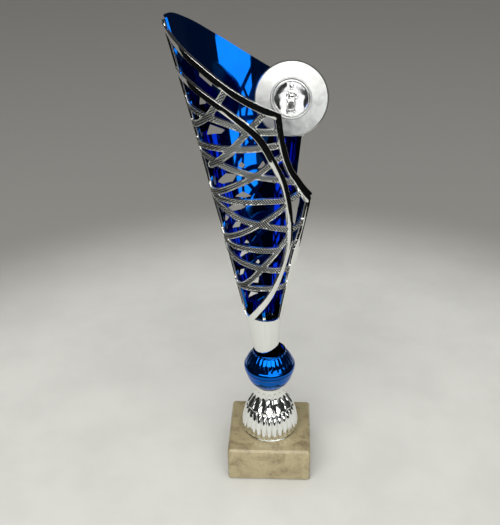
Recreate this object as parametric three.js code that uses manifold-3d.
// Column trophy: a marble base, a fluted foot, a two-part knop and a tall cup of two half shells,
// an open-work one in front and a closed, windowed one behind, with a medal holder at its low end.
// Millimetres, +Z up, -Y is the front. The origin is the middle of the base's underside.
import * as THREE from "three";
import { mergeVertices } from "three/addons/utils/BufferGeometryUtils.js";
import Module from "manifold-3d";

const wasm = await Module();
wasm.setup();

// ---- driving dimensions ----
const FIT = 0.3; // clearance between neighbouring pieces

const BASE = { side: 63, top: 28.2, chamfer: 1.8, corner: 1.8, foot: 0.6 };
const FELT = { side: BASE.side - 6, thick: 1 };
const ROD_RADIUS = 2.4;
const ROD = { radius: ROD_RADIUS, hole: ROD_RADIUS + 0.6, bottom: 2.2 };
const NUT = { flats: ROD.radius * 3.33, height: 4 };
const POCKET = { radius: ROD.radius + 6.6, depth: 9 };

const FOOT = { flange: 20.8, thick: 1.2, neck: 11.4, height: 40.2, flutes: 28, wall: 1.8 };
const CUP_RADIUS = 8.66; // the cup's outer radius level with the knop's mouth
const KNOP_RADIUS = 18;
const KNOP_BOTTOM = BASE.top + FOOT.thick + FOOT.height;
const KNOP = {
  radius: KNOP_RADIUS,
  lip: KNOP_RADIUS + 1.1,
  bottom: KNOP_BOTTOM,
  middle: KNOP_BOTTOM + 0.828 * KNOP_RADIUS,
  top: KNOP_BOTTOM + 1.689 * KNOP_RADIUS,
  mouth: CUP_RADIUS + 3.84,
  wall: 1.7,
};
const SEAT = { radius: KNOP.radius / 2, bottom: KNOP.bottom + 2.5, height: 3.6 };

const CUP = {
  lean: THREE.MathUtils.degToRad(2.98), // the cup leans to the left of its rod
  pivot: KNOP.bottom - 11.2, // height at which its axis crosses the rod
  radius: CUP_RADIUS,
  taper: 0.158, // growth of the radius with height
  wall: 1.6,
  stem: CUP_RADIUS - 0.36,
  stemBottom: SEAT.bottom + SEAT.height + 0.7 - KNOP.top,
  floor: 3,
  floorHole: ROD.hole + 0.7,
  sleeveTop: 33,
};
const WING = { start: 24, tip: 12.1, slope: 0.258, corner: 122 }; // the pointed right-hand edge
const RIDGE = { start: 160, slope: 0.034 }; // the slighter point along the upper left-hand edge
const BAND = { width: 4.6, proud: 0.4 };
const STRAP = { width: 4.2, sunk: 0.2 };
const MEDAL = {
  radius: 23.9,
  thick: 2.8,
  recess: 12.1,
  centre: [CUP.radius + 6.64, 3, KNOP.top + 190.8], // of its back
  turn: THREE.MathUtils.degToRad(-5),
  tilt: THREE.MathUtils.degToRad(19),
};

// ---- the solids ----
const rad = THREE.MathUtils.degToRad;
const smooth = (a, b, v) => THREE.MathUtils.smoothstep(v, a, b);

function toSolid(geometry) {
  const bare = geometry.clone();
  bare.deleteAttribute("normal");
  bare.deleteAttribute("uv");
  const merged = mergeVertices(bare, 1e-4);
  return new wasm.Manifold(
    new wasm.Mesh({
      numProp: 3,
      vertProperties: merged.attributes.position.array,
      triVerts: new Uint32Array(merged.index.array),
    }),
  );
}

function toGeometry(solid) {
  const mesh = solid.getMesh();
  const geometry = new THREE.BufferGeometry();
  geometry.setAttribute("position", new THREE.BufferAttribute(mesh.vertProperties, 3));
  geometry.setIndex(new THREE.BufferAttribute(mesh.triVerts, 1));
  return geometry;
}

const join = (first, ...rest) => rest.reduce((sum, s) => sum.add(s), first);
const cut = (first, ...rest) => rest.reduce((sum, s) => sum.subtract(s), first);

// A body of revolution about Z from a closed outline of [radius, height] points, anticlockwise.
function turned(outline, segments = 36) {
  const points = [...outline, outline[0]].map(([r, z]) => new THREE.Vector2(r, z));
  return new THREE.LatheGeometry(points, segments).rotateX(Math.PI / 2);
}

function ring(inner, outer, bottom, top, segments = 24) {
  return turned([[inner, bottom], [outer, bottom], [outer, top], [inner, top]], segments);
}

function box(x, y, z, at = [0, 0, 0]) {
  return new THREE.BoxGeometry(x, y, z).translate(...at);
}

function hexNut(bottom) {
  const corner = NUT.flats / Math.sqrt(3);
  const body = new THREE.CylinderGeometry(corner, corner, NUT.height, 6).rotateX(Math.PI / 2);
  const bore = new THREE.CylinderGeometry(ROD.hole, ROD.hole, NUT.height + 2, 24).rotateX(Math.PI / 2);
  return toGeometry(cut(toSolid(body), toSolid(bore))).translate(0, 0, bottom + NUT.height / 2);
}

// ---- the base ----
function marbleBase() {
  const shape = (side, corner) => {
    const h = side / 2;
    const s = new THREE.Shape();
    s.moveTo(-h + corner, -h);
    s.lineTo(h - corner, -h);
    s.lineTo(h, -h + corner);
    s.lineTo(h, h - corner);
    s.lineTo(h - corner, h);
    s.lineTo(-h + corner, h);
    s.lineTo(-h, h - corner);
    s.lineTo(-h, -h + corner);
    s.closePath();
    return s;
  };
  const height = BASE.top - FELT.thick;
  // A block whose one end is chamfered and whose other end runs on well past the base.
  const chamfered = (size) =>
    new THREE.ExtrudeGeometry(shape(BASE.side - 2 * size, BASE.corner), {
      depth: 2 * height,
      bevelThickness: size,
      bevelSize: size,
      bevelSegments: 1,
    });
  const upper = chamfered(BASE.chamfer).translate(0, 0, -height - BASE.chamfer);
  const lower = chamfered(BASE.foot).translate(0, 0, BASE.foot);
  const block = toSolid(upper).intersect(toSolid(lower));
  const hole = toSolid(ring(0, ROD.hole, -1, height + 1));
  const pocket = toSolid(ring(0, POCKET.radius, -1, POCKET.depth, 40));
  return toGeometry(cut(block, hole, pocket)).translate(0, 0, FELT.thick);
}

// ---- the fluted foot ----
// Its outline as [height above the flange, radius], widest low down and drawn in to the neck.
const FOOT_OUTLINE = [
  [0, 19.4],
  [0.05, 20.9],
  [0.15, 21.7],
  [0.275, 21.2],
  [0.4, 19.8],
  [0.535, 17.2],
  [0.61, 15.4],
  [0.7, 13.2],
  [0.8, 11.6],
  [0.935, FOOT.neck - 0.4],
].map(([share, radius]) => [share * FOOT.height, radius]);

function flutedFoot(bottom) {
  const perFlute = 2;
  const around = FOOT.flutes * perFlute;
  const rows = FOOT_OUTLINE.length;
  const outer = new THREE.CylinderGeometry(1, 1, 1, around, rows - 1).rotateX(Math.PI / 2);
  const p = outer.attributes.position;
  for (let i = 0; i < p.count; i++) {
    const row = Math.round((p.getZ(i) + 0.5) * (rows - 1));
    const [z, radius] = FOOT_OUTLINE[row];
    const angle = Math.atan2(p.getY(i), p.getX(i));
    const onAxis = Math.hypot(p.getX(i), p.getY(i)) < 0.5;
    const depth = 0.075 * radius;
    const r = radius - depth * (1 - Math.abs(Math.cos((FOOT.flutes * angle) / 2)));
    p.setXYZ(i, onAxis ? 0 : r * Math.cos(angle), onAxis ? 0 : r * Math.sin(angle), z);
  }
  const top = FOOT.height;
  const collar = ring(0, FOOT.neck, FOOT_OUTLINE[rows - 1][0] - 1, top, 36);
  const inside = FOOT_OUTLINE.slice(0, 9).map(([z, r]) => [r * 0.92 - FOOT.wall, z - 0.01]);
  const hollow = turned([[0, -1], [inside[0][0], -1], ...inside, [0, top - 6]]);
  const hole = ring(0, ROD.hole, 20, top + 1);
  const body = join(toSolid(outer), toSolid(collar));
  return toGeometry(cut(body, toSolid(hollow), toSolid(hole))).translate(0, 0, bottom);
}

// ---- the knop ----
const KNOP_CENTRE = KNOP.middle - 0.5;

// Points on a sphere about the knop's centre, from one height to another.
function knopArc(radius, from, to, steps) {
  return Array.from({ length: steps + 1 }, (_, i) => {
    const z = from + ((to - from) * i) / steps;
    return [Math.sqrt(radius ** 2 - (z - KNOP_CENTRE) ** 2), z];
  });
}

// The height at which the upper half of that sphere has narrowed to a given radius.
function knopHeight(radius, at) {
  return KNOP_CENTRE + Math.sqrt(radius ** 2 - at ** 2);
}

function knopBowl() {
  const inner = KNOP.radius - KNOP.wall;
  return turned([
    [ROD.hole, KNOP.bottom],
    ...knopArc(KNOP.radius, KNOP.bottom, KNOP.middle - 1.2, 6),
    [KNOP.lip - 0.3, KNOP.middle - 1],
    [KNOP.lip - 0.3, KNOP.middle],
    [inner, KNOP.middle],
    ...knopArc(inner, SEAT.bottom, KNOP.middle - 1, 5).reverse(),
    [ROD.hole, SEAT.bottom],
  ]);
}

function knopCap() {
  const spigot = KNOP.radius - KNOP.wall - FIT;
  const outer = KNOP.lip + 0.1;
  const inner = KNOP.lip - KNOP.wall;
  return turned([
    [spigot - 1.2, KNOP.middle - 3],
    [spigot, KNOP.middle - 3],
    [spigot, KNOP.middle],
    [KNOP.lip, KNOP.middle],
    ...knopArc(outer, KNOP.middle + 2, knopHeight(outer, KNOP.mouth + 0.7), 5),
    [KNOP.mouth + 0.2, KNOP.top],
    [KNOP.mouth - 0.5, KNOP.top - 0.3],
    ...knopArc(inner, KNOP.middle + 2, knopHeight(inner, KNOP.mouth - 0.3), 4).reverse(),
    [spigot - 1.2, KNOP.middle + 0.6],
  ]);
}

// ---- the cup's surface ----
// A point of the cup is given by its azimuth in degrees (0 right, -90 front, 90 rear) and its
// height above the knop's mouth along the leaning axis. The section is a circle drawn out to a
// pointed edge on the right, whose tip runs along a straight line up to the wing's corner, and to
// a slighter one on the left near the mouth.
const coneRadius = (height) => CUP.radius + CUP.taper * height;

// Half the angle over which the flat flanks of the right-hand point leave the circle.
function flankAngle(height, rear) {
  const capped = Math.min(height, WING.corner);
  const tip = WING.tip + WING.slope * (capped - WING.start);
  const r = coneRadius(capped);
  const angle = height > WING.start && tip > r ? Math.acos(r / tip) : 0;
  const fade = rear ? [WING.corner - 4, WING.corner + 20] : [150, 180];
  return angle * (1 - smooth(fade[0], fade[1], height));
}

// The same for the left-hand point, which only the upper part of the cup has.
function ridgeAngle(height) {
  const rise = Math.max(0, height - RIDGE.start) * RIDGE.slope;
  return Math.acos(coneRadius(height) / (coneRadius(height) + rise));
}

function cupPoint(azimuth, height, inset, rear = false) {
  const a = rad(azimuth);
  const fold = Math.abs(Math.atan2(Math.sin(a), Math.cos(a)));
  const right = flankAngle(height, rear) - fold;
  const left = ridgeAngle(height) - (Math.PI - fold);
  const r = (coneRadius(height) - inset) / Math.cos(Math.max(0, right, left));
  return new THREE.Vector3(r * Math.cos(a), r * Math.sin(a), height);
}

// Bends a unit box: place(u, v, w) gives the point for each corner, u and v over the surface,
// w through the thickness from 0 inside to 1 outside.
function bentBox(alongU, alongV, place) {
  const g = new THREE.BoxGeometry(1, 1, 1, alongU, alongV, 1);
  const p = g.attributes.position;
  for (let i = 0; i < p.count; i++) {
    const q = place(p.getX(i) + 0.5, p.getY(i) + 0.5, p.getZ(i) + 0.5);
    p.setXYZ(i, q.x, q.y, q.z);
  }
  return g;
}

// A ribbon that follows [azimuth, height] points over the cup's surface.
// It is cut into steps that turn or climb by no more than about nine degrees or ten millimetres.
function ribbon(points, width, proud, thick) {
  const curve = new THREE.CatmullRomCurve3(
    points.map(([a, h]) => new THREE.Vector3(a, h, 0)),
    false,
    "centripetal",
  );
  const perDegree = (h) => (coneRadius(h) * Math.PI) / 180;
  let steps = 0;
  for (let i = 1; i < points.length; i++) {
    const [a, h] = points[i];
    const [a0, h0] = points[i - 1];
    steps += Math.max(Math.abs(a - a0) / 9, Math.abs(h - h0) / 10);
  }
  steps = Math.max(2, Math.ceil(steps));
  return bentBox(steps, 1, (u, v, w) => {
    const at = curve.getPointAt(u);
    const way = curve.getTangentAt(u);
    const scale = perDegree(at.y);
    const dir = new THREE.Vector2(way.x * scale, way.y).normalize();
    const side = (v - 0.5) * width;
    const azimuth = at.x - (dir.y * side) / scale;
    const height = at.y + dir.x * side;
    return cupPoint(azimuth, height, -proud + (1 - w) * thick);
  });
}

// ---- the front shell's pattern, as [azimuth, height] points ----
const RIM_BAND = [[-178.5, 240], [-155, 235.5], [-130, 225], [-100, 207.7], [-80, 197.8], [-59, 189]];
const WING_LEG = [[-60.5, 190], [-54, 170], [-42, 152], [-25, 139.4], [-1, 121.5]];
const SWEEP_BAND = [
  [-178.5, 213],
  [-150, 212],
  [-124, 203.5],
  [-99.7, 191.3],
  [-80, 178],
  [-63.3, 158],
  [-49, 142],
  [-37.5, 125],
  [-29, 107],
  [-26, 94],
  [-30, 83],
  [-45, 69],
  [-70, 54.4],
  [-97, 43.9],
  [-124, 35.5],
];
const DOWNWARD = [
  [[-177.5, 195], [-140, 192], [-110, 187.8], [-88, 182.5], [-58, 179]],
  [[-177.5, 167], [-130, 170], [-56, 170]],
  [[-177.5, 159.5], [-148, 162.4], [-120, 158], [-90, 152.3], [-58, 146.3], [-29, 139.5]],
  [[-177.5, 133.5], [-120, 132.6], [-75, 132.2], [-44, 129]],
  [[-177.5, 130], [-139, 126.4], [-110, 119.4], [-80, 114.6], [-50, 108.7], [-18, 103], [-3, 105]],
  [[-177.5, 101], [-139, 97], [-100, 95.8], [-50, 92]],
  [[-177.5, 92], [-136, 85.8], [-100, 81.7], [-60, 76.3], [-12, 70.5]],
  [[-177.5, 62], [-140, 62.5], [-80, 62.3], [-12, 57.5]],
];
const UPWARD = [
  [[-104.5, 209], [-113, 201.2], [-127, 191.3], [-145, 184.6], [-177.5, 179]],
  [[-73, 192.8], [-88.8, 181.9], [-110, 168.4], [-127, 160.6], [-142, 156]],
  [[-177.5, 133], [-136, 138.1], [-110, 144.4], [-81, 152.3], [-64, 159.1], [-50, 162]],
  [[-177.5, 97.5], [-136, 103.5], [-110, 108.8], [-80, 116], [-38, 125.2]],
  [[-33, 128], [-12, 129]],
  [[-177.5, 61], [-130, 64.2], [-102, 71.8], [-80, 81.1], [-50, 92.2], [-30, 98.5]],
  [[-24, 92], [-4, 89.5]],
];

function frontShell() {
  // The sleeve, its stem inside the knop and the floor that the nut clamps.
  const t = CUP.wall;
  const bore = CUP.stem - 1.3;
  const sleeve = turned(
    [
      [CUP.floorHole, CUP.stemBottom],
      [CUP.stem, CUP.stemBottom],
      [CUP.stem, -2.5],
      [coneRadius(0), 0],
      [coneRadius(CUP.sleeveTop + 6), CUP.sleeveTop + 6],
      [coneRadius(CUP.sleeveTop + 6) - t, CUP.sleeveTop + 6],
      [coneRadius(1) - t, 1],
      [bore, -3],
      [bore, CUP.stemBottom + CUP.floor],
      [CUP.floorHole, CUP.stemBottom + CUP.floor],
    ],
    40,
  );
  // The sleeve's upper edge falls slightly to the right.
  const trim = new THREE.BoxGeometry(60, 60, 40).rotateY(rad(10)).translate(0, 0, CUP.sleeveTop + 20.3);
  const bands = [RIM_BAND, WING_LEG, SWEEP_BAND].map((points) =>
    ribbon(points, BAND.width, BAND.proud, CUP.wall + BAND.proud),
  );
  const down = DOWNWARD.map((points) =>
    ribbon(points, STRAP.width, -STRAP.sunk, CUP.wall - STRAP.sunk - 0.1),
  );
  const up = UPWARD.map((points) =>
    ribbon(points, STRAP.width, 0.15 - STRAP.sunk, CUP.wall - STRAP.sunk + 0.05),
  );
  // The left-hand rail and the right-hand one, each wrapped round its pointed edge: front, middle
  // and rear give the widths of its flanges at a height.
  const rail = (tip, turn, bottom, top, rows, flanges) =>
    bentBox(flanges.length - 1, rows, (u, v, w) => {
      const height = bottom + (top - bottom) * v;
      const along = flanges[Math.round(u * (flanges.length - 1))];
      const share = 1 + 0.8 * (1 - smooth(26, 56, height));
      const narrowing = tip === 0 ? 1 - 0.65 * smooth(80, 104, height) : 1;
      const wide = along * (along < 0 ? share * narrowing : 1);
      const azimuth = tip + (turn * THREE.MathUtils.radToDeg(wide)) / coneRadius(height);
      return cupPoint(azimuth, height, -0.2 + (1 - w) * (CUP.wall + 0.2));
    });
  const left = rail(-180, 1, 28, 241.5, 16, [-1.5, 0, 1.2, 2.5]);
  const right = rail(0, 1, 25, WING.corner + 0.4, 10, [-4.4, -3, -1.5, 0, 1.6]);
  const cage = join(...[...bands, ...down, ...up, left, right].map(toSolid));
  return toGeometry(join(cut(toSolid(sleeve), toSolid(trim)), cage));
}

// ---- the rear shell ----
// Its upper edge, as [azimuth, height] points from the right seam round the back to the left one.
const REAR_RIM = [
  [4, 182],
  [16, 189],
  [45, 196.5],
  [71, 203],
  [95, 213],
  [120, 226],
  [146, 239],
  [173, 247],
  [186, 246],
];
const WINDOWS = [
  [[131, 197], [135, 193.5], [150, 203.5], [146, 208]],
  [[146, 184.5], [162, 186.5], [157, 190.5], [151, 190]],
  [[127, 163.5], [133, 162], [162, 166], [150, 171]],
  [[75, 135.5], [83, 134], [89, 133.5], [79, 139.5]],
  [[106, 137], [110, 135], [117, 137.3], [112, 140]],
  [[118, 145.5], [138, 142.5], [142, 147], [126, 149]],
  [[120, 131.5], [128, 127.5], [150, 129], [164, 133], [140, 135]],
  [[100, 114.5], [112, 114], [132, 117], [115, 119]],
  [[111, 107.5], [122, 106.5], [146, 107.5], [153, 112], [136, 112]],
  [[151, 104.5], [160, 104], [176, 106], [165, 109.5]],
  [[105, 94], [122, 96], [118, 98.5]],
  [[124, 98.5], [131, 94.5], [154, 97], [140, 99.5]],
  [[114, 80.5], [129, 82], [122, 84]],
  [[120, 74], [140, 73], [150, 74.5], [138, 77.5], [123, 77.5]],
  [[95, 65.5], [99, 64], [107, 65.5], [99, 67.8]],
  [[138, 63.5], [147, 60.3], [174, 62.5], [160, 65.5]],
  [[101, 54], [105, 49.5], [134, 51.5], [118, 54.5]],
  [[104, 41.5], [132, 41], [158, 41.3], [136, 45]],
  [[2, 113], [7, 101.5], [11, 99.5], [17, 103], [25, 109], [25.5, 114.5], [20, 118.5], [9, 121], [2, 121]],
];
const REAR = { bottom: 26, top: 182, overlap: 186, inset: CUP.wall + FIT, wall: 1.3 };

function rearRim(azimuth) {
  const i = REAR_RIM.findIndex(([a]) => a >= azimuth);
  const [a1, h1] = REAR_RIM[Math.max(i, 1)];
  const [a0, h0] = REAR_RIM[Math.max(i, 1) - 1];
  return h0 + ((h1 - h0) * (azimuth - a0)) / (a1 - a0);
}

function rearShell() {
  const levels = [REAR.bottom, 32, 42, 60, 95, WING.corner, 131, 142, REAR.top];
  const upper = 2;
  const rows = levels.length - 1 + upper;
  const columns = 26;
  const wall = bentBox(columns, rows, (u, v, w) => {
    const row = Math.round(v * rows);
    const extra = Math.max(0, row - levels.length + 1) / upper;
    const level = levels[Math.min(row, levels.length - 1)];
    const edge = -9 + 13 * smooth(WING.corner - 6, WING.corner + 14, level);
    // A column stands on the tip of the pointed edge, the rest are spread evenly.
    const column = Math.round(u * columns);
    const first = Math.max(edge + 0.3, 0);
    const spread = first + ((column - 1) / (columns - 2)) * (180 - first);
    const azimuth = column === 0 ? edge : column === columns ? REAR.overlap : spread;
    const height = level + extra * (rearRim(Math.max(azimuth, 4)) - REAR.top);
    return cupPoint(azimuth, height, REAR.inset + (1 - w) * REAR.wall, true);
  });
  const r = (h, inset) => coneRadius(h) - inset;
  const collar = turned([
    [r(6, REAR.inset + REAR.wall), 6],
    [r(6, REAR.inset), 6],
    [r(27, REAR.inset), 27],
    [r(27, REAR.inset + REAR.wall), 27],
  ]);
  const windows = WINDOWS.map((corners) => {
    const shape = new THREE.Shape(corners.map(([a, h]) => new THREE.Vector2(a, h)));
    const prism = new THREE.ExtrudeGeometry(shape, { depth: 1, bevelEnabled: false });
    const p = prism.attributes.position;
    for (let i = 0; i < p.count; i++) {
      const q = cupPoint(p.getX(i), p.getY(i), 9 - 12 * p.getZ(i), true);
      p.setXYZ(i, q.x, q.y, q.z);
    }
    return toSolid(prism);
  });
  return toGeometry(cut(join(toSolid(wall), toSolid(collar)), ...windows));
}

// ---- the medal holder, drawn lying down, its face up and its lower edge towards -Y ----
function medalDisc() {
  const { radius: r, thick: t, recess } = MEDAL;
  const disc = turned(
    [
      [0, 0],
      [r - 0.5, 0],
      [r, 0.5],
      [r, t - 0.7],
      [r - 0.7, t],
      [recess + 1.2, t],
      [recess + 0.9, t + 0.5],
      [recess + 0.2, t + 0.5],
      [recess, t],
      [recess, t - 1.4],
      [0, t - 1.4],
    ],
    40,
  );
  const tab = box(12, 4, t - 0.6, [0, -r + 0.6, t / 2]);
  return toGeometry(join(toSolid(disc), toSolid(tab)));
}

// The bracket's arm lies along the inside of the rear shell, just behind the right-hand seam.
const ARM = { height: 172, azimuth: 10, thick: 2, length: 17, tall: 9, pad: 1 };

function alongWall(geometry, gap) {
  const r = coneRadius(ARM.height) - REAR.inset - REAR.wall - gap;
  const tilt = Math.atan(CUP.taper);
  return geometry.rotateY(tilt).translate(r, 0, ARM.height).rotateZ(rad(ARM.azimuth));
}

function medalBracket() {
  const arm = alongWall(box(ARM.thick, ARM.length, ARM.tall), ARM.pad + 0.7 + ARM.thick / 2);
  cup.updateMatrixWorld();
  medal.updateMatrixWorld();
  arm.applyMatrix4(cup.matrixWorld).applyMatrix4(medal.matrixWorld.clone().invert());
  const plate = box(9, ARM.tall, 1.8, [4.5, -19, -FIT - 0.9]);
  const front = box(80, 80, 20, [0, 0, 10 - FIT]);
  return toGeometry(join(cut(toSolid(arm), toSolid(front)), toSolid(plate)));
}

// ---- the assembly ----
const chrome = { color: 0xd8dadc, metalness: 1, roughness: 0.08 };
const blue = { color: 0x08187a, metalness: 0.8, roughness: 0.08 };
const steel = { color: 0xa9abad, metalness: 1, roughness: 0.35 };

const trophy = new THREE.Group();
const cup = new THREE.Group();
cup.position.set(-(KNOP.top - CUP.pivot) * Math.tan(CUP.lean), 0, KNOP.top);
cup.rotation.y = -CUP.lean;
const medal = new THREE.Group();
medal.position.set(...MEDAL.centre);
medal.rotation.set(Math.PI / 2 - MEDAL.tilt, 0, MEDAL.turn, "ZXY");
trophy.add(cup, medal);

function add(parent, name, geometry, look) {
  const mesh = new THREE.Mesh(geometry, new THREE.MeshStandardMaterial(look));
  mesh.name = name;
  parent.add(mesh);
  return mesh;
}

const pocketTop = FELT.thick + POCKET.depth;
const footBottom = BASE.top + FOOT.thick;
const clampTop = KNOP.top + CUP.stemBottom + CUP.floor + 0.6; // clear of the leaning floor
const rodTop = clampTop + 1 + NUT.height + 2.5;
add(trophy, "felt_pad", box(FELT.side, FELT.side, FELT.thick, [0, 0, FELT.thick / 2]), {
  color: 0x1d1f1e,
  roughness: 1,
});
add(trophy, "marble_base", marbleBase(), { color: 0xb3a98a, roughness: 0.25 });
add(trophy, "base_washer", ring(ROD.hole, POCKET.radius - 1.5, pocketTop - 1, pocketTop), steel);
add(trophy, "lock_washer", ring(ROD.hole, ROD.hole + 1.6, pocketTop - 2.3, pocketTop - 1), steel);
add(trophy, "base_nut", hexNut(pocketTop - 2.3 - NUT.height), steel);
add(trophy, "tie_rod", ring(0, ROD.radius, ROD.bottom, rodTop, 24), steel);
add(trophy, "foot_flange", ring(ROD.hole, FOOT.flange, BASE.top, footBottom, 40), chrome);
add(trophy, "fluted_foot", flutedFoot(footBottom), chrome);
add(trophy, "knop_bowl", knopBowl(), blue);
add(trophy, "knop_cap", knopCap(), blue);
add(trophy, "seat_washer", ring(ROD.hole, SEAT.radius, SEAT.bottom, SEAT.bottom + SEAT.height), {
  color: 0x222222,
  roughness: 0.8,
});
add(cup, "front_shell", frontShell(), chrome);
add(cup, "rear_shell", rearShell(), blue);
add(trophy, "cup_washer", ring(ROD.hole, ROD.hole + 2.2, clampTop, clampTop + 1), steel);
add(trophy, "cup_nut", hexNut(clampTop + 1), steel);
add(medal, "medal_disc", medalDisc(), { color: 0xcfd2d4, metalness: 0.9, roughness: 0.4 });
const emblem = MEDAL.recess - FIT;
const emblemOutline = [[0, 0], [emblem, 0], [emblem, 0.7], [emblem - 0.6, 1], [0, 1]];
add(medal, "emblem_disc", turned(emblemOutline), chrome)
  .position.z = MEDAL.thick - 1.4;
add(medal, "medal_bracket", medalBracket(), steel);
add(cup, "medal_pad", alongWall(box(ARM.pad, 6, 8), 0.6 + ARM.pad / 2), {
  color: 0x222222,
  roughness: 0.9,
});

export default trophy;
